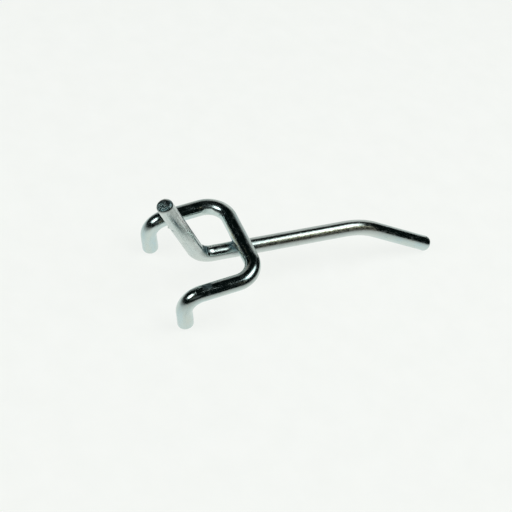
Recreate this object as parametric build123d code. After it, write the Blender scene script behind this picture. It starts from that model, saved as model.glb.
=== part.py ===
from build123d import *

import math
import os

# A single hook for a perforated panel: two bent round steel wires, welded where they cross.
# The main wire is the brace, the arm and the turned tip. The yoke is a U of the same wire
# that lies over the arm, and its two bent prongs hook into the panel's holes.
# The hook is modelled as it lies on a table, upside down to its use: both prongs and the tip
# touch the table, which is z = 0. +X runs along the arm to the tip, and y = 0 is its mid-plane.

# Lengths are in mm and angles in degrees. A wire's runs are measured to the corners where
# their centrelines would meet, and its radii are those of the centreline.

# Wire
wire_diameter = 6.0
end_chamfer = 0.5

# Main wire
arm_length = 51.3
tip_length = 38.0
tip_angle = 28.0
tip_bend_radius = 28.0
tail_length = 15.2
brace_length = 34.7
brace_angle = 59.5
brace_bend_radius = 9.0

# Yoke
prong_pitch = 38.0
yoke_corner_radius = 8.5
leg_length = 29.0
leg_slope = 9.4
prong_angle = 93.0
prong_bend_radius = 6.7
prong_length = 14.8

# Weld: how far the wires are pressed into each other, and the lens of metal that joins them
weld_set_down = 0.5
weld_diameter = 5.4

wire_radius = wire_diameter / 2
stack_height = wire_diameter - weld_set_down


def run(length, angle):
    """A straight run in the upright X-Z plane, at an angle above +X."""
    return Vector(length * math.cos(math.radians(angle)), 0, length * math.sin(math.radians(angle)))


def bent_wire(corners, bend_radii):
    """Round wire along straight runs and bends, with the edges of its sheared ends broken."""
    path = FilletPolyline(*corners, radius=bend_radii)
    section = Plane(origin=path @ 0, z_dir=path % 0) * Circle(wire_radius)
    wire = sweep(section, path=path)
    end_edges = wire.faces().filter_by(GeomType.PLANE).edges()
    return chamfer(end_edges, end_chamfer)


def main_wire_corners():
    """From the brace's end to the tip's end. The arm's axis crosses under the yoke at the origin."""
    brace_bend = Vector(-tail_length, 0, 0)
    tip_bend = Vector(arm_length, 0, 0)
    brace_end = brace_bend + run(brace_length, 180 - brace_angle)
    tip_end = tip_bend + run(tip_length, -tip_angle)
    return [brace_end, brace_bend, tip_bend, tip_end]


def yoke_side_corners(side):
    """Crossbar corner, prong bend and prong end on one side of the arm."""
    corner = Vector(0, side * prong_pitch / 2, stack_height)
    prong_bend = corner + run(leg_length, 180 + leg_slope)
    prong_end = prong_bend + run(prong_length, 180 + leg_slope + prong_angle)
    return [corner, prong_bend, prong_end]


def hook_arm():
    """Brace, arm and tip, bent from one wire."""
    return bent_wire(main_wire_corners(), [brace_bend_radius, tip_bend_radius])


def cross_weld(arm):
    """Lens of fused metal between the two wires, seated on the arm like a saddle."""
    lens = Pos(0, 0, stack_height / 2) * Sphere(weld_diameter / 2)
    return lens - arm


def mounting_yoke(arm, weld):
    """U-shaped wire with two prongs, let into the arm and round the weld at its crossbar."""
    left = yoke_side_corners(1)
    right = yoke_side_corners(-1)
    bend_radii = [prong_bend_radius, yoke_corner_radius, yoke_corner_radius, prong_bend_radius]
    wire = bent_wire(left[::-1] + right, bend_radii)
    return wire - arm - weld


def end_points(end, bend):
    """The chamfer's two corners at the lowest side of a wire's end that points down."""
    outward = (end - bend).normalized()
    downward = Vector(0, 1, 0).cross(outward)
    on_the_face = end + downward * (wire_radius - end_chamfer)
    on_the_side = end - outward * end_chamfer + downward * wire_radius
    return [on_the_face, on_the_side]


def slope(start, stop):
    """Angle above +X of the line between two points."""
    return math.degrees(math.atan2(stop.Z - start.Z, stop.X - start.X))


def resting_place(solids):
    """Turn the hook so that its prongs and tip touch the table, and centre its box over the origin."""
    corner, prong_bend, prong_end = yoke_side_corners(1)
    brace_end, brace_bend, tip_bend, tip_end = main_wire_corners()
    tip_points = end_points(tip_end, tip_bend)
    # The line that touches both ends from below is the table.
    table_slope = max(min(slope(prong_point, tip_point) for tip_point in tip_points)
                      for prong_point in end_points(prong_end, prong_bend))
    turn = Rotation(0, table_slope, 0)
    box = Compound(children=[turn * solid for solid in solids]).bounding_box()
    middle = box.center()
    return Pos(-middle.X, -middle.Y, -box.min.Z) * turn


arm = hook_arm()
weld = cross_weld(arm)
yoke = mounting_yoke(arm, weld)
place = resting_place([arm, weld, yoke])

os.makedirs("parts", exist_ok=True)
for name, solid in {"hook_arm": arm, "cross_weld": weld, "mounting_yoke": yoke}.items():
    export_step(place * solid, f"parts/{name}.step")
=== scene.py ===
import math

import bpy
from mathutils import Matrix, Quaternion, Vector, noise


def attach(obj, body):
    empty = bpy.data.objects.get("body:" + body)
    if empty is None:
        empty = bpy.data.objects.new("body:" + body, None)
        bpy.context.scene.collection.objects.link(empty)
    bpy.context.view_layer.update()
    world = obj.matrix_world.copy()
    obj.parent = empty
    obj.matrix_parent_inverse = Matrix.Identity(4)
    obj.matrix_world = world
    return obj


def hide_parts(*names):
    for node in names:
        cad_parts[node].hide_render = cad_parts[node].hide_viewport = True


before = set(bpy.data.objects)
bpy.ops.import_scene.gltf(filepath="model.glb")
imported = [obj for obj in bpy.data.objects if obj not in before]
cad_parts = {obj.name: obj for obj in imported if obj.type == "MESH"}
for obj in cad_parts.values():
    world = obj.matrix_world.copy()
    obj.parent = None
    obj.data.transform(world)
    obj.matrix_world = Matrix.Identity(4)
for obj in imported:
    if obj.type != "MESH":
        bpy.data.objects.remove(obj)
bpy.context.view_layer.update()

# A single hook for a perforated panel, bent from two bright zinc-plated steel wires.
# It lies on a pale table, upside down to its use, resting on its two prongs and its tip.
# The two wires and the weld between them are modelled here on the CAD model's own lines.
# Lengths are in mm and angles in degrees until a mesh is made, which is in metres.

MM = 0.001

# Wire: its skin lies just inside the CAD model's
wire_radius = 2.992

# Main wire: the runs are measured to the corners where their centrelines would meet
arm_length = 51.3
tip_length = 38.0
tip_angle = 28.0
tip_bend_radius = 28.0
tail_length = 15.2
brace_length = 34.7
brace_angle = 59.5
brace_bend_radius = 9.0

# Yoke
prong_pitch = 38.0
yoke_corner_radius = 8.5
leg_length = 29.0
leg_slope = 9.4
prong_angle = 93.0
prong_bend_radius = 6.7
prong_length = 14.8

# Weld: its radius and how uneven that is, and how far it reaches into the wires
stack_height = 5.5
weld_radius = 2.75
weld_ripple = 0.3
weld_overlap = 0.12

# Cut ends: how deep the torn face lies, how much it rises and falls broadly and finely, and how
# far round to each side a torn rim reaches
torn_depth = 0.06
torn_relief = 0.07
torn_fine_relief = 0.03
torn_half_width = 96.0

# Mesh: spacing of the rings along a wire, facets round it, rings over an end's rim and face,
# how many of the rim's may be torn as the face is, and the longest rim that an end may have
ring_spacing = 0.22
ring_facets = 120
rim_rings = 8
face_rings = 12
torn_rim_rings = 4
longest_rounding = 1.65

# Rings of the weld, from its innermost ring to its rounded rim, both as shares of its radius
weld_rings = 10
weld_rim_rings = 6
weld_inner_share = 0.04
weld_rim_share = 0.06

# Place: the hook turns about the Y axis onto its three feet, then moves over the origin
table_slope = -3.11089
crossing = Vector((-25.0699, 0.0, 15.7198))

place = Matrix.Translation(crossing) @ Matrix.Rotation(math.radians(table_slope), 4, "Y")


# Lines of the wires

def run(length, angle):
    """A straight run in the upright X-Z plane, at an angle above +X."""
    return Vector((length * math.cos(math.radians(angle)), 0, length * math.sin(math.radians(angle))))


def main_wire_corners():
    """From the brace's end to the tip's end. The arm's axis crosses under the yoke at the origin."""
    brace_bend = Vector((-tail_length, 0, 0))
    tip_bend = Vector((arm_length, 0, 0))
    brace_end = brace_bend + run(brace_length, 180 - brace_angle)
    tip_end = tip_bend + run(tip_length, -tip_angle)
    return [brace_end, brace_bend, tip_bend, tip_end]


def yoke_side_corners(side):
    """Crossbar corner, prong bend and prong end on one side of the arm."""
    corner = Vector((0, side * prong_pitch / 2, stack_height))
    prong_bend = corner + run(leg_length, 180 + leg_slope)
    prong_end = prong_bend + run(prong_length, 180 + leg_slope + prong_angle)
    return [corner, prong_bend, prong_end]


def bent_line(corners, bend_radii):
    """Closely spaced points, with the direction of travel at each, along straight runs and arcs."""
    stations = []

    def straight(start, stop):
        steps = max(1, round((stop - start).length / ring_spacing))
        heading = (stop - start).normalized()
        for step in range(steps):
            stations.append((start.lerp(stop, step / steps), heading))

    here = corners[0]
    for before, corner, after, radius in zip(corners, corners[1:], corners[2:], bend_radii):
        heading = (corner - before).normalized()
        leaving = (after - corner).normalized()
        turn = heading.angle(leaving)
        setback = radius * math.tan(turn / 2)
        inward = (leaving - heading * heading.dot(leaving)).normalized()
        arc_start = corner - heading * setback
        centre = arc_start + inward * radius
        straight(here, arc_start)
        steps = max(8, round(turn * radius / ring_spacing))
        for step in range(steps):
            angle = turn * step / steps
            spoke = heading * math.sin(angle) - inward * math.cos(angle)
            stations.append((centre + spoke * radius, heading * math.cos(angle) + inward * math.sin(angle)))
        here = corner + leaving * setback
    straight(here, corners[-1])
    stations.append((corners[-1], (corners[-1] - corners[-2]).normalized()))
    return stations


# Marks of making and handling. Each gives how far the surface is let in, at a distance along
# the wire and an angle round it.

def turned_from(around, angle):
    """How far round the wire a place lies from an angle, in radians."""
    return math.remainder(around - math.radians(angle), math.tau)


def dent(along, angle, depth, length, width):
    """A smooth dent, or with a negative depth a burr."""
    def mark(here, around):
        across = turned_from(around, angle) * wire_radius
        return depth * math.exp(-((here - along) / length) ** 2 - (across / width) ** 2)
    return mark


def flat(along, angle, depth, half_length, slant=0.0, ramp_length=0.25):
    """A flat pressed by a clamp or bending tool, with a ramp at each end. A slant deepens one end."""
    def mark(here, around):
        off_centre = abs(here - along)
        if off_centre > half_length:
            return 0.0
        pressed = depth * min(1.0, (half_length - off_centre) / ramp_length) + slant * (here - along)
        turned = math.cos(around - math.radians(angle))
        if turned <= 0.5:
            return 0.0
        return max(0.0, wire_radius - (wire_radius - pressed) / turned)
    return mark


def band(start, stop, angle, half_width, fade):
    """Where a band along the wire is worn, from 0 to 1. It fades in and out along the wire."""
    def wear(here, around):
        across = abs(turned_from(around, angle)) / math.radians(half_width)
        within = min(1.0, max(0.0, (here - start) / fade), max(0.0, (stop - here) / fade))
        return within * max(0.0, min(1.0, 2.2 - 2.0 * across))
    return wear


def rolled_edge(least, most, blade_angle):
    """How far an end's rim is rounded over: most on the side that the blade entered."""
    def rounding(angle):
        return least + (most - least) * (0.5 + 0.5 * math.cos(angle - math.radians(blade_angle))) ** 2
    return rounding


# Meshes

# Kinds of wear kept on the mesh. The sheen is painted light, and some bruises are painted dark reflections
kinds_of_wear = ("dull_olive", "bruised_and_shaded", "stained", "satin", "painted_sheen", "clear")


def mesh_object(name, points, faces, drawn, wear, sheared=()):
    """A smooth-shaded mesh that keeps its place on the drawn wire and how worn it is."""
    mesh = bpy.data.meshes.new(name)
    mesh.from_pydata([tuple(point) for point in points], [], faces)
    place_on_wire = mesh.attributes.new("drawn", "FLOAT_VECTOR", "POINT")
    place_on_wire.data.foreach_set("vector", [value for triple in drawn for value in triple])
    for kind in kinds_of_wear:
        how_worn = wear.get(kind, [0.0] * len(points))
        mesh.attributes.new(kind, "FLOAT", "POINT").data.foreach_set("value", how_worn)
    mesh.polygons.foreach_set("use_smooth", [True] * len(mesh.polygons))
    if sheared:
        mesh.polygons.foreach_set("material_index", sheared)
    mesh.update()
    piece = bpy.data.objects.new(name, mesh)
    bpy.context.scene.collection.objects.link(piece)
    return piece


def face_between_rows(row, facet):
    """The four corners of a face between a row of points and the next."""
    here = row * ring_facets + facet
    beside = row * ring_facets + (facet + 1) % ring_facets
    return (here, beside, beside + ring_facets, here + ring_facets)


def wire_mesh(name, stations, side, end_edges, torn_towards, marks, wear):
    """
    A round wire with sheared ends.

    Side is the direction of angle 0 at its start. End_edges say how each end's rim is rounded,
    and torn_towards is the angle where the first end's rim is torn as its face is, if anywhere.
    Wear gives the worn bands of each kind. The attribute "drawn" is each point's place in mm:
    the distance along the wire, and where it is across the section.
    """
    travelled = 0.0
    last, heading_before = stations[0]
    frames = []
    for point, heading in stations:
        travelled += (point - last).length
        side = heading_before.rotation_difference(heading) @ side
        side = (side - heading * side.dot(heading)).normalized()
        last = point
        heading_before = heading
        frames.append((travelled, point, heading, side, heading.cross(side)))
    angles = [math.tau * facet / ring_facets for facet in range(ring_facets)]

    def ring(frame_here, reaches, depths):
        """One row of points, let in from the wire's end by depths."""
        along, point, heading, across, up = frame_here
        row = []
        for angle, reach, depth in zip(angles, reaches, depths):
            x, y = reach * math.cos(angle), reach * math.sin(angle)
            worn = [max(patch(along, angle) for patch in patches) for patches in wear.values()]
            row.append((point + heading * depth + across * x + up * y, (along + depth, x, y), worn))
        return row

    def end(frame_here, inward, edge):
        """
        Rings from the wire's side, over its rounded edge, to the middle of the sheared face. The
        face starts level with its rim.
        """
        rim = []
        face = []
        for step in range(rim_rings):
            turn = math.pi / 2 * step / (rim_rings - 1)
            rim.append(ring(frame_here,
                            [wire_radius - edge(angle) * (1 - math.cos(turn)) for angle in angles],
                            [inward * edge(angle) * (1 - math.sin(turn)) for angle in angles]))
        for step in range(1, face_rings):
            share = 1 - step / face_rings
            reaches = [(wire_radius - edge(angle)) * share for angle in angles]
            depths = []
            for angle, reach in zip(angles, reaches):
                x, y = reach * math.cos(angle), reach * math.sin(angle)
                broad = noise.noise(Vector((x * 2.2, y * 0.7, frame_here[0])))
                fine = noise.noise(Vector((x * 5.0, y * 2.0, frame_here[0] + 5)))
                torn = torn_depth + torn_relief * broad + torn_fine_relief * fine
                depths.append(inward * torn * min(1.0, (1 - share) * 4))
            face.append(ring(frame_here, reaches, depths))
        return rim, face

    first_rim, first_face = end(frames[0], 1, end_edges[0])
    last_rim, last_face = end(frames[-1], -1, end_edges[1])
    body = []
    for frame_here in frames:
        along_here = frame_here[0]
        if longest_rounding < along_here < travelled - longest_rounding:
            reaches = [wire_radius - sum(mark(along_here, angle) for mark in marks) for angle in angles]
            body.append(ring(frame_here, reaches, [0.0] * ring_facets))
    rows = first_face[::-1] + first_rim[::-1] + body + last_rim + last_face

    points, drawn, worn = [], [], []
    faces, sheared = [], []
    for position, place_on_wire, worn_here in (corner for row in rows for corner in row):
        points.append(place @ position * MM)
        drawn.append(place_on_wire)
        worn.append(worn_here)
    last_side_row = len(rows) - len(last_face) - 1
    for number in range(len(rows) - 1):
        for facet, angle in enumerate(angles):
            torn_rows = len(first_face)
            if torn_towards is not None:
                if abs(turned_from(angle, torn_towards)) < math.radians(torn_half_width):
                    torn_rows += torn_rim_rings
            on_face = number < torn_rows or number >= last_side_row
            faces.append(face_between_rows(number, facet))
            sheared.append(int(on_face))
    for number in (0, len(rows) - 1):
        rim = [number * ring_facets + facet for facet in range(ring_facets)]
        points.append(sum((points[corner] for corner in rim), Vector()) / ring_facets)
        drawn.append((drawn[rim[0]][0], 0.0, 0.0))
        worn.append([0.0] * len(wear))
        middle = len(points) - 1
        for here, beside in zip(rim, rim[1:] + rim[:1]):
            faces.append((beside, here, middle) if number == 0 else (here, beside, middle))
            sheared.append(1)
    return mesh_object(name, points, faces, drawn, dict(zip(wear, zip(*worn))), sheared)


def weld_mesh(name):
    """The metal squeezed out between the crossed wires: a lens with an uneven rounded rim."""
    def rim_radius(angle):
        around = Vector((math.cos(angle), math.sin(angle), 0.3))
        return weld_radius + weld_ripple * noise.noise(around * 2.2)

    def lower(y):
        return math.sqrt(wire_radius ** 2 - y ** 2) - weld_overlap

    def upper(x):
        return stack_height - math.sqrt(wire_radius ** 2 - x ** 2) + weld_overlap

    flat_share = 1 - weld_rim_share
    step_share = (flat_share - weld_inner_share) / (weld_rings - 1)
    spread = [weld_inner_share + step_share * step for step in range(weld_rings)]
    bulge = [math.pi * step / weld_rim_rings for step in range(1, weld_rim_rings)]
    profile = [(share, 0.0) for share in spread]
    profile += [(flat_share + weld_rim_share * math.sin(turn), (1 - math.cos(turn)) / 2) for turn in bulge]
    profile += [(share, 1.0) for share in reversed(spread)]
    points, drawn, faces = [], [], []
    for share, height in profile:
        for facet in range(ring_facets):
            angle = math.tau * facet / ring_facets
            x, y = (share * rim_radius(angle) * part for part in (math.cos(angle), math.sin(angle)))
            z = lower(y) + max(0.0, upper(x) - lower(y)) * height
            points.append(place @ Vector((x, y, z)) * MM)
            drawn.append((x, y, z))
    for number in range(len(profile) - 1):
        for facet in range(ring_facets):
            faces.append(face_between_rows(number, facet))
    faces.append(tuple(reversed(range(ring_facets))))
    faces.append(tuple(range(len(points) - ring_facets, len(points))))
    return mesh_object(name, points, faces, drawn, {})


# Materials

def add(tree, kind, sockets=None, **settings):
    """A node with its settings, and its sockets set to a value or linked to an output."""
    made = tree.nodes.new(kind)
    for setting, value in settings.items():
        setattr(made, setting, value)
    for socket, value in (sockets or {}).items():
        if isinstance(value, bpy.types.NodeSocket):
            tree.links.new(value, made.inputs[socket])
        else:
            made.inputs[socket].default_value = value
    return made


def arithmetic(tree, operation, *values):
    """One step of arithmetic with numbers."""
    made = add(tree, "ShaderNodeMath", dict(enumerate(values)), operation=operation)
    return made.outputs[0]


def vectors(tree, operation, *values):
    """One step of arithmetic with vectors. Some of its operations give a number."""
    made = add(tree, "ShaderNodeVectorMath", dict(enumerate(values)), operation=operation)
    is_number = operation in ("DOT_PRODUCT", "LENGTH", "DISTANCE")
    return made.outputs["Value" if is_number else "Vector"]


def attribute(tree, name, output="Fac"):
    """What the mesh keeps under a name."""
    return add(tree, "ShaderNodeAttribute", attribute_name=name).outputs[output]


def grain(tree, vector, scale, detail=3.0, roughness=0.55):
    """Cloudy noise between 0 and 1."""
    made = add(tree, "ShaderNodeTexNoise",
               {"Vector": vector, "Scale": scale, "Detail": detail, "Roughness": roughness})
    return made.outputs["Fac"]


def stretch(tree, vector, scale):
    """The same coordinates, scaled along each axis."""
    made = add(tree, "ShaderNodeMapping", {"Vector": vector, "Scale": scale})
    return made.outputs["Vector"]


def ramp(tree, value, *stops):
    """Colours or grey levels along a value."""
    made = add(tree, "ShaderNodeValToRGB", {"Fac": value})
    elements = made.color_ramp.elements
    for number, (position, colour) in enumerate(stops):
        element = elements[number] if number < 2 else elements.new(position)
        element.position = position
        element.color = (*colour, 1.0) if isinstance(colour, tuple) else (colour, colour, colour, 1.0)
    return made.outputs["Color"]


def mix(tree, share, first, second):
    """Two colours, each written out or from a node, mixed by a share from a node."""
    made = add(tree, "ShaderNodeMix", data_type="RGBA")
    for socket, value in zip((made.inputs[0], made.inputs[6], made.inputs[7]), (share, first, second)):
        if isinstance(value, bpy.types.NodeSocket):
            tree.links.new(value, socket)
        else:
            socket.default_value = (*value, 1.0)
    return made.outputs[2]


def new_material(name):
    """A material with an empty node tree and its output."""
    material = bpy.data.materials.new(name)
    material.use_nodes = True
    tree = material.node_tree
    tree.nodes.clear()
    return material, tree, add(tree, "ShaderNodeOutputMaterial")


def metal(tree, output, colour, roughness, height, depth):
    """Bare metal with a bumpy surface. Height is the bump's height in units of depth, in mm."""
    bump = add(tree, "ShaderNodeBump", {"Height": height, "Strength": 1.0, "Distance": depth * MM})
    shader = add(tree, "ShaderNodeBsdfPrincipled",
                 {"Base Color": colour, "Metallic": 1.0, "Roughness": roughness,
                  "Normal": bump.outputs["Normal"]})
    tree.links.new(shader.outputs["BSDF"], output.inputs["Surface"])


def weighted(tree, *terms):
    """A sum of values, each with its weight."""
    total = arithmetic(tree, "MULTIPLY", *terms[0])
    for value, weight in terms[1:]:
        total = arithmetic(tree, "ADD", total, arithmetic(tree, "MULTIPLY", value, weight))
    return total


def between(tree, value, low, high, low_result=0.0, high_result=1.0, curve="LINEAR"):
    """A value spread from one range to another, held at the ends."""
    made = add(tree, "ShaderNodeMapRange", {"Value": value, "From Min": low, "From Max": high,
                                            "To Min": low_result, "To Max": high_result},
               interpolation_type=curve)
    return made.outputs["Result"]


def zinc_material():
    """Bright zinc plating over drawn steel wire, with faint passivation and heat colours."""
    material, tree, output = new_material("bright_zinc")
    drawn = attribute(tree, "drawn", "Vector")
    dull_olive, bruised_and_shaded, stained, satin, painted_sheen, clear = (attribute(tree, kind) for kind in kinds_of_wear)

    # Colour: pale blue-grey zinc with thin blue and straw films, and straw flecks
    film = grain(tree, stretch(tree, drawn, (0.12, 0.5, 0.5)), 1.0, 4.0)
    zinc = ramp(tree, film, (0.30, (0.52, 0.655, 0.67)), (0.50, (0.575, 0.675, 0.66)),
                (0.72, (0.61, 0.675, 0.635)))
    flecks = between(tree, grain(tree, stretch(tree, drawn, (0.6, 2.4, 2.4)), 1.0, 5.0), 0.60, 0.68)
    zinc = mix(tree, arithmetic(tree, "MULTIPLY", flecks, 0.35), zinc, (0.62, 0.59, 0.44))

    # Heat colours round the weld: dark blue close to it, fading into the zinc
    place_here = add(tree, "ShaderNodeTexCoord").outputs["Object"]
    from_weld = vectors(tree, "DISTANCE", place_here, tuple(weld_middle))
    uneven = weighted(tree, (from_weld, 1 / MM), (grain(tree, drawn, 0.9), 1.6))
    heat = ramp(tree, between(tree, uneven, 3.0, 7.5), (0.0, (0.12, 0.24, 0.30)), (0.3, (0.18, 0.34, 0.41)),
                (0.6, (0.50, 0.60, 0.58)), (1.0, (0.58, 0.66, 0.64)))
    scorched = between(tree, uneven, 4.0, 6.0, 1.0, 0.0)
    zinc = mix(tree, arithmetic(tree, "MULTIPLY", scorched, 0.9), zinc, heat)

    # Clear places have less of the blue film, and the painted sheen is a paler painted reflection.
    # Places in the dull olive band are dull and olive, stained ones straw, bruised ones dull and grey,
    # some of them painted dark reflections, and satin ones less glossy.
    scuff = grain(tree, stretch(tree, drawn, (2.2, 4.0, 4.0)), 1.0, 4.0)
    worn = arithmetic(tree, "MULTIPLY", dull_olive, between(tree, scuff, 0.36, 0.56))
    straw = arithmetic(tree, "MULTIPLY", stained, between(tree, scuff, 0.42, 0.56))
    zinc = mix(tree, arithmetic(tree, "MULTIPLY", clear, 0.7), zinc, (0.625, 0.675, 0.65))
    # Painted sheen: a paler colour on the brace's near side
    zinc = mix(tree, painted_sheen, zinc, (0.78, 0.82, 0.795))
    colour = mix(tree, worn, zinc, (0.50, 0.49, 0.39))
    colour = mix(tree, straw, colour, (0.65, 0.60, 0.38))
    # Bruises, and painted dark reflections on the brace
    colour = mix(tree, bruised_and_shaded, colour, (0.20, 0.285, 0.30))

    # Finish: the plating's fine orange peel, slow waves, die lines along the wire, matt pits, and
    # grain in the dull olive band
    gritty = arithmetic(tree, "MULTIPLY", dull_olive, grain(tree, drawn, 4.2, 2.0))
    height = weighted(tree, (grain(tree, drawn, 1.3, 2.0), 1.0), (grain(tree, drawn, 3.4, 3.0), 0.7),
                      (grain(tree, stretch(tree, drawn, (0.05, 4.0, 4.0)), 1.0, 3.0), 0.12),
                      (grain(tree, stretch(tree, drawn, (0.35, 0.6, 0.6)), 1.0, 1.0), 1.6), (gritty, 2.2))
    smooth = between(tree, grain(tree, drawn, 1.0, 4.0), 0.35, 0.65, 0.105, 0.165)
    pits = between(tree, grain(tree, drawn, 1.8, 4.0), 0.58, 0.72)
    clouds = between(tree, grain(tree, stretch(tree, drawn, (0.3, 0.7, 0.7)), 1.0, 3.0), 0.50, 0.72)
    streaks = between(tree, grain(tree, stretch(tree, drawn, (0.08, 2.2, 2.2)), 1.0, 3.0), 0.56, 0.66)
    roughness = weighted(tree, (smooth, 1.0), (worn, 0.30), (bruised_and_shaded, 0.24), (scorched, 0.25),
                         (straw, 0.16), (satin, 0.10), (pits, 0.14), (clouds, 0.18), (streaks, 0.12))
    metal(tree, output, colour, roughness, height, depth=0.018)
    return material


# Where the blade entered a cut end, as a direction across the wire's section. The cut face is painted
# darker on this side, as painted shade
blade_side = (0.0, 0.5, 0.87)


def sheared_material():
    """A wire's cut end, thinly plated: burnished and painted darker as shade where the blade entered, torn
    grey steel beyond.
    """
    material, tree, output = new_material("sheared_end")
    drawn = attribute(tree, "drawn", "Vector")
    tear = grain(tree, stretch(tree, drawn, (1.0, 3.6, 0.7)), 1.0, 4.0, 0.6)
    torn = ramp(tree, tear, (0.42, (0.07, 0.14, 0.145)), (0.52, (0.34, 0.50, 0.51)),
                (0.60, (0.85, 0.96, 0.95)))
    across = vectors(tree, "DOT_PRODUCT", drawn, blade_side)
    burnished_and_shaded = between(tree, weighted(tree, (across, 1.0), (tear, 1.5)), 0.9, 1.7)
    # Painted shade: the burnished side of the face is darker
    colour = mix(tree, burnished_and_shaded, torn, (0.30, 0.37, 0.38))
    roughness = weighted(tree, (between(tree, tear, 0.3, 0.7, 0.38, 0.55), 1.0), (burnished_and_shaded, -0.22))
    height = arithmetic(tree, "MULTIPLY", tear, arithmetic(tree, "SUBTRACT", 1.0, burnished_and_shaded))
    metal(tree, output, colour, roughness, height, depth=0.22)
    return material


def weld_material():
    """Metal that has flowed and been plated, with blue and straw heat colours."""
    material, tree, output = new_material("weld_metal")
    drawn = attribute(tree, "drawn", "Vector")
    heat = grain(tree, drawn, 0.8, 3.0)
    colour = ramp(tree, heat, (0.35, (0.16, 0.28, 0.36)), (0.52, (0.34, 0.46, 0.52)),
                  (0.70, (0.50, 0.50, 0.44)))
    roughness = between(tree, grain(tree, drawn, 2.0), 0.3, 0.7, 0.2, 0.4)
    metal(tree, output, colour, roughness, grain(tree, drawn, 1.8, 4.0), depth=0.08)
    return material


# Hook

weld_middle = place @ Vector((0, 0, stack_height / 2)) * MM

arm_line = bent_line(main_wire_corners(), [brace_bend_radius, tip_bend_radius])
left = yoke_side_corners(1)
right = yoke_side_corners(-1)
yoke_radii = [prong_bend_radius, yoke_corner_radius, yoke_corner_radius, prong_bend_radius]
yoke_line = bent_line(left[::-1] + right, yoke_radii)

# A half width that covers the wire all round
all_round = 400.0

main_wire_marks = [
    # Bending has pinched the inside of the brace's bend
    flat(33.8, 112, 0.36, 1.5, slant=0.10),
    flat(31.7, 88, 0.26, 1.0, slant=-0.08),
    dent(35.4, 140, 0.16, 0.6, 0.5),
    # A nick on the brace's side, with the metal that it pushed up
    dent(12.9, 258, 0.44, 0.45, 0.6),
    dent(12.0, 266, -0.46, 0.40, 0.55),
    # A long scratch on the brace, a pit past the tip's bend, and a burr near the tip's end
    dent(9.5, 172, 0.035, 3.6, 0.35),
    dent(108.6, 135, 0.06, 0.22, 0.22),
    dent(136.0, 76, -0.16, 0.4, 0.5),
]
main_wire_wear = {
    # A dull, rough olive band along the arm's near side
    "dull_olive": [band(53.5, 108.0, 138, 18, 4.0)],
    # Dull grey: the pinch, the nick and the pit, and painted dark reflections as two streaks on the brace
    # and on its cut rim
    "bruised_and_shaded": [
        band(30.2, 36.6, 106, 36, 1.4),
        band(12.1, 13.4, 250, 26, 0.4),
        # Painted dark reflections: two streaks along the brace
        band(2.0, 16.0, 176, 6, 6.0),
        band(3.0, 31.0, 93, 16, 7.0),
        # Painted dark reflection on the brace's cut rim
        band(-1.0, 0.5, 105, 40, 0.5),
        band(108.3, 108.9, 135, 4, 0.2),
    ],
    "stained": [band(57.0, 104.0, 128, 9, 6.0)],
    # The brace is satin all round, and its near side is painted paler, a painted sheen
    "satin": [band(1.0, 36.0, 0, all_round, 6.0)],
    "painted_sheen": [band(4.0, 29.0, 135, 24, 6.0)],
    "clear": [band(-6.0, 112.0, 0, all_round, 6.0)],
}
yoke_marks = [
    # A clamp has left two flats and a ridge on the near leg
    flat(90.4, 100, 0.12, 1.2, ramp_length=0.6),
    flat(92.3, 88, 0.12, 0.8, ramp_length=0.5),
    dent(94.75, 82, -0.07, 0.2, 0.9),
    # A bending tool has left a flat inside the far corner
    flat(35.6, 169, 0.27, 4.0, ramp_length=2.4),
]
yoke_wear = {
    "bruised_and_shaded": [band(89.0, 93.3, 94, 32, 0.8)],
    "stained": [
        band(94.8, 96.8, 52, 4, 0.4),
        band(77.4, 81.0, 42, 7, 0.8),
        band(15.6, 18.4, 144, 9, 0.6),
        band(60.0, 76.0, 114, 5, 3.0),
        band(48.0, 68.0, 150, 8, 4.0),
        band(30.2, 33.4, 130, 4, 0.5),
    ],
    "satin": [band(32.0, 41.0, 115, 50, 2.5)],
}

main_wire = wire_mesh("main_wire", arm_line, side=Vector((0, 1, 0)),
                      end_edges=[rolled_edge(1.4, 1.6, 60), rolled_edge(0.9, 1.3, 0)],
                      torn_towards=235, marks=main_wire_marks, wear=main_wire_wear)
yoke_wire = wire_mesh("yoke_wire", yoke_line, side=Vector((0, 1, 0)),
                      end_edges=[rolled_edge(1.2, 1.6, 0), rolled_edge(1.2, 1.6, 0)],
                      torn_towards=None, marks=yoke_marks, wear=yoke_wear)
weld = weld_mesh("weld_bead")

zinc = zinc_material()
sheared = sheared_material()
for wire, node in ((main_wire, "hook_arm"), (yoke_wire, "mounting_yoke")):
    wire.data.materials.append(zinc)
    wire.data.materials.append(sheared)
    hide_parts(node)
    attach(wire, "root")

weld.data.materials.append(weld_material())
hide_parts("cross_weld")
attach(weld, "root")


# Studio, in metres

# Card: its colour and its fibres, how much of its own level the camera and the metal see, and
# how far the table reaches
card_light = (0.93, 0.952, 0.925)
card_dark = (0.912, 0.935, 0.907)
fibre_scale = 90.0
seen_by_camera = 0.9
seen_by_metal = 0.92
half_table = 3.0

# Backdrop: a card that rises in a curve behind the hook. Its middle is a direction, and its foot
# stands just above the table.
backdrop_middle = 22.0
backdrop_distance = 1.3
backdrop_half_width = 1.0
backdrop_height = 1.1
backdrop_curve = 0.25
curve_steps = 12
above_table = 0.0005

# Shade on the backdrop, as the metal shows it: how far to the right of its middle its brightest
# line stands, how much lower the shade reaches for each metre to the right of that line, and how
# much it is lifted everywhere, both as shares of the height
brightest_aside = 0.26
shade_comes_down = 0.50
shade_lifted = 0.10

# Shade on the table, as the metal shows it: its level falls off slowly towards the far side, and
# quickly on the shaded side once past the prongs
far_side = 10.0
far_side_slowness = 0.25
shaded_side = 280.0
shade_starts = 0.085
shade_quickness = 5.0

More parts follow.
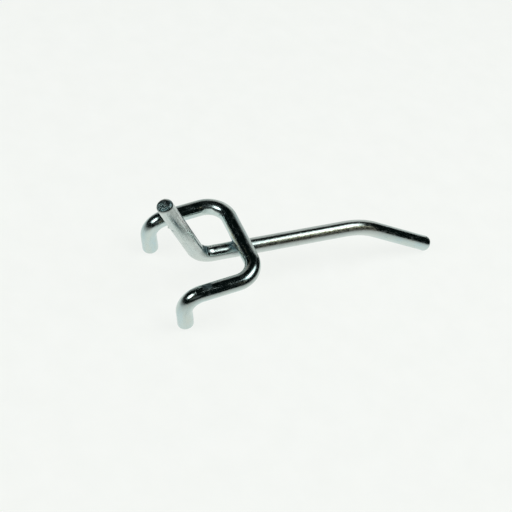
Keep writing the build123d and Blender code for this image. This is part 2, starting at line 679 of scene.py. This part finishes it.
# The hook's outline on the table, as rectangles round its arm and its yoke: middle, half size
hook_outline = [((0.0, 0.0), (0.062, 0.003)), ((-0.039, 0.0), (0.017, 0.022))]

# Lamps: how far off they stand, what the metal shows of their colour, and where their edges
# start to fade, from 0 in the middle to 0.5 at the edge
lamp_distance = 0.65
lamp_tint = (0.91, 1.0, 0.985)
fade_starts = 0.12

# The dark room that the metal shows beyond the card
room_tint = (0.30, 0.80, 0.72, 1.0)
room_level = 0.005


def towards(azimuth, elevation):
    """Direction from the hook, azimuth 0 along +Y and 90 along +X."""
    turn = math.radians(azimuth)
    rise = math.radians(elevation)
    return Vector((math.sin(turn) * math.cos(rise), math.cos(turn) * math.cos(rise), math.sin(rise)))


def to_the_right(outward):
    """The level direction a quarter turn to the right of another."""
    return Vector((outward.y, -outward.x, 0.0))


def aimed_lamp(name, azimuth, elevation, width, height, radiance):
    """A rectangular lamp that faces the hook. Width and height are the angles that it spans."""
    data = bpy.data.lights.new(name, "AREA")
    data.shape = "RECTANGLE"
    data.size = 2 * lamp_distance * math.tan(math.radians(width / 2))
    data.size_y = 2 * lamp_distance * math.tan(math.radians(height / 2))
    data.energy = radiance * math.pi * data.size * data.size_y
    lamp = bpy.data.objects.new(name, data)
    lamp.location = towards(azimuth, elevation) * lamp_distance
    lamp.rotation_mode = "QUATERNION"
    lamp.rotation_quaternion = towards(azimuth, elevation).to_track_quat("Z", "Y")
    lamp.visible_camera = False
    bpy.context.scene.collection.objects.link(lamp)
    return lamp


def soft_box(name, azimuth, elevation, width, height, radiance):
    """What the metal shows of a lamp: it fades towards its edges."""
    lamp = aimed_lamp(name, azimuth, elevation, width, height, radiance)
    lamp.visible_diffuse = False
    lamp.data.color = lamp_tint
    lamp.data.use_nodes = True
    tree = lamp.data.node_tree
    across = add(tree, "ShaderNodeNewGeometry").outputs["Parametric"]
    sides = add(tree, "ShaderNodeSeparateXYZ", {"Vector": across}).outputs
    fades = []
    for side in (sides["X"], sides["Y"]):
        off_centre = arithmetic(tree, "ABSOLUTE", arithmetic(tree, "SUBTRACT", side, 0.5))
        fades.append(between(tree, off_centre, fade_starts, 0.5, 1.0, 0.0, curve="SMOOTHSTEP"))
    glow = arithmetic(tree, "MULTIPLY", *fades)
    tree.links.new(glow, tree.nodes["Emission"].inputs["Strength"])


def lamp_for_matt(name, azimuth, elevation, width, height, radiance):
    """What lights the card: large, so that the hook's shadow is soft."""
    aimed_lamp(name, azimuth, elevation, width, height, radiance).visible_glossy = False


def stage_piece(name, points, faces, material):
    """A plain sheet of the stage."""
    mesh = bpy.data.meshes.new(name)
    mesh.from_pydata(points, [], faces)
    mesh.polygons.foreach_set("use_smooth", [True] * len(mesh.polygons))
    sheet = bpy.data.objects.new(name, mesh)
    sheet.data.materials.append(material)
    bpy.context.scene.collection.objects.link(sheet)


def card_material(name, reflected):
    """
    Matt pale card. The camera and the metal see a steady share of it at its own level, so that
    the hook's shadow on it is faint. Reflected is how much of that level the metal shows.
    """
    material, tree, output = new_material(name)
    fibre = grain(tree, add(tree, "ShaderNodeTexCoord").outputs["Object"], fibre_scale, 4.0)
    colour = mix(tree, between(tree, fibre, 0.3, 0.7), card_dark, card_light)
    matt = add(tree, "ShaderNodeBsdfPrincipled", {"Base Color": colour, "Roughness": 0.9})
    rays = add(tree, "ShaderNodeLightPath").outputs
    mirrored = arithmetic(tree, "ADD", rays["Is Glossy Ray"], rays["Is Transmission Ray"])
    strength = weighted(tree, (rays["Is Camera Ray"], 1.0), (mirrored, reflected(tree)))
    level = add(tree, "ShaderNodeEmission", {"Color": colour, "Strength": strength})
    share = weighted(tree, (rays["Is Camera Ray"], seen_by_camera), (mirrored, seen_by_metal))
    both = add(tree, "ShaderNodeMixShader", {0: share, 1: matt.outputs[0], 2: level.outputs[0]})
    tree.links.new(both.outputs[0], output.inputs["Surface"])
    return material


def falling_shade(tree):
    """
    Full at the backdrop's foot and nearly dark at its top. It is dimmer on the left, and the
    shade reaches lower on the right.
    """
    place_here = add(tree, "ShaderNodeTexCoord").outputs["Object"]
    aside = vectors(tree, "DOT_PRODUCT", place_here, tuple(to_the_right(towards(backdrop_middle, 0))))
    aside = arithmetic(tree, "SUBTRACT", aside, brightest_aside)
    right = arithmetic(tree, "MAXIMUM", aside, 0.0)
    left = arithmetic(tree, "MAXIMUM", arithmetic(tree, "MULTIPLY", aside, -1.0), 0.0)
    height = add(tree, "ShaderNodeSeparateXYZ", {"Vector": place_here}).outputs["Z"]
    height = weighted(tree, (height, 1 / backdrop_height), (right, shade_comes_down))
    height = arithmetic(tree, "SUBTRACT", height, shade_lifted)
    upright = ramp(tree, height, (0.0, 1.0), (0.10, 0.88), (0.21, 0.82), (0.45, 0.76), (0.62, 0.64),
                   (0.76, 0.20), (1.0, 0.02))
    level = ramp(tree, left, (0.0, 1.0), (0.3, 0.80), (0.6, 0.56), (1.0, 0.42))
    return arithmetic(tree, "MULTIPLY", upright, level)


def away_from(tree, place_here, middle, half_size):
    """Distance on the table from a rectangle, shortened on the far side."""
    low = tuple(centre - reach for centre, reach in zip(middle, half_size))
    high = tuple(centre + reach for centre, reach in zip(middle, half_size))
    nearest = vectors(tree, "MAXIMUM", place_here, (*low, 0.0))
    nearest = vectors(tree, "MINIMUM", nearest, (*high, 0.0))
    gap = vectors(tree, "SUBTRACT", place_here, nearest)
    outward = towards(far_side, 0)
    along = vectors(tree, "DOT_PRODUCT", gap, tuple(outward))
    across = vectors(tree, "DOT_PRODUCT", gap, tuple(to_the_right(outward)))
    along = arithmetic(tree, "MAXIMUM", arithmetic(tree, "MULTIPLY", along, far_side_slowness),
                       arithmetic(tree, "MULTIPLY", along, -1.0))
    both = add(tree, "ShaderNodeCombineXYZ", {"X": along, "Y": across}).outputs[0]
    return vectors(tree, "LENGTH", both)


def pool_of_light(tree):
    """Brightest close under the hook, slow to fall off on the far side and quick on the shaded one."""
    place_here = add(tree, "ShaderNodeTexCoord").outputs["Object"]
    away = [away_from(tree, place_here, middle, half_size) for middle, half_size in hook_outline]
    shaded = vectors(tree, "DOT_PRODUCT", place_here, tuple(towards(shaded_side, 0)))
    shaded = arithmetic(tree, "MAXIMUM", arithmetic(tree, "SUBTRACT", shaded, shade_starts), 0.0)
    distance = weighted(tree, (arithmetic(tree, "MINIMUM", *away), 1.0), (shaded, shade_quickness))
    return ramp(tree, distance, (0.0, 1.0), (0.010, 0.90), (0.022, 0.76), (0.045, 0.63), (0.09, 0.52),
                (0.20, 0.38), (0.60, 0.16), (1.0, 0.06))


corners = [(x * half_table, y * half_table, 0) for x, y in ((-1, -1), (1, -1), (1, 1), (-1, 1))]
stage_piece("floor", corners, [(0, 1, 2, 3)], card_material("pale_card", pool_of_light))

outward = towards(backdrop_middle, 0)
sideways = to_the_right(outward)
profile = []
for step in range(curve_steps + 1):
    turn = math.pi / 2 * step / curve_steps
    profile.append((backdrop_distance - backdrop_curve * (1 - math.sin(turn)),
                    backdrop_curve * (1 - math.cos(turn)) + above_table))
profile.append((backdrop_distance, backdrop_height))
backdrop_points = []
for away, height in profile:
    for edge in (-backdrop_half_width, backdrop_half_width):
        backdrop_points.append(tuple(outward * away + sideways * edge + Vector((0, 0, height))))
backdrop_faces = [(row, row + 1, row + 3, row + 2) for row in range(0, 2 * len(profile) - 2, 2)]
stage_piece("backdrop", backdrop_points, backdrop_faces, card_material("shaded_card", falling_shade))

# Each lamp: azimuth, elevation, width, height and radiance
soft_box("box_right", 110, 60, 52, 34, 3.2)
soft_box("box_left", 267, 37, 33, 31, 4.6)
soft_box("box_front", 212, 27, 60, 28, 0.10)
lamp_for_matt("lamp_right", 115, 62, 40, 40, 4.9)
lamp_for_matt("lamp_left", 266, 42, 30, 30, 4.5)

# Surroundings: as pale as the card for the camera, and the dark room in the metal
world = bpy.data.worlds.new("surroundings")
world.use_nodes = True
tree = world.node_tree
tree.nodes.clear()
pale = add(tree, "ShaderNodeBackground", {"Color": (*card_light, 1.0), "Strength": seen_by_camera})
dark = add(tree, "ShaderNodeBackground", {"Color": room_tint, "Strength": room_level})
seen = add(tree, "ShaderNodeLightPath").outputs["Is Camera Ray"]
both = add(tree, "ShaderNodeMixShader", {0: seen, 1: dark.outputs[0], 2: pale.outputs[0]})
add(tree, "ShaderNodeOutputWorld", {"Surface": both.outputs[0]})
bpy.context.scene.world = world

# Camera
camera_place = Vector((-0.22466, -0.29576, 0.35683))
aim = Vector((-0.017388, -0.001723, 0.012))
camera_roll = 17.673
camera_data = bpy.data.cameras.new("camera")
camera_data.sensor_width = 36.0
camera_data.lens = 95.026
camera = bpy.data.objects.new("camera", camera_data)
camera.location = camera_place
camera.rotation_mode = "QUATERNION"
camera.rotation_quaternion = ((aim - camera_place).to_track_quat("-Z", "Y")
                              @ Quaternion((0, 0, 1), math.radians(camera_roll)))
bpy.context.scene.collection.objects.link(camera)
bpy.context.scene.camera = camera
bpy.context.scene.view_settings.view_transform = "Standard"
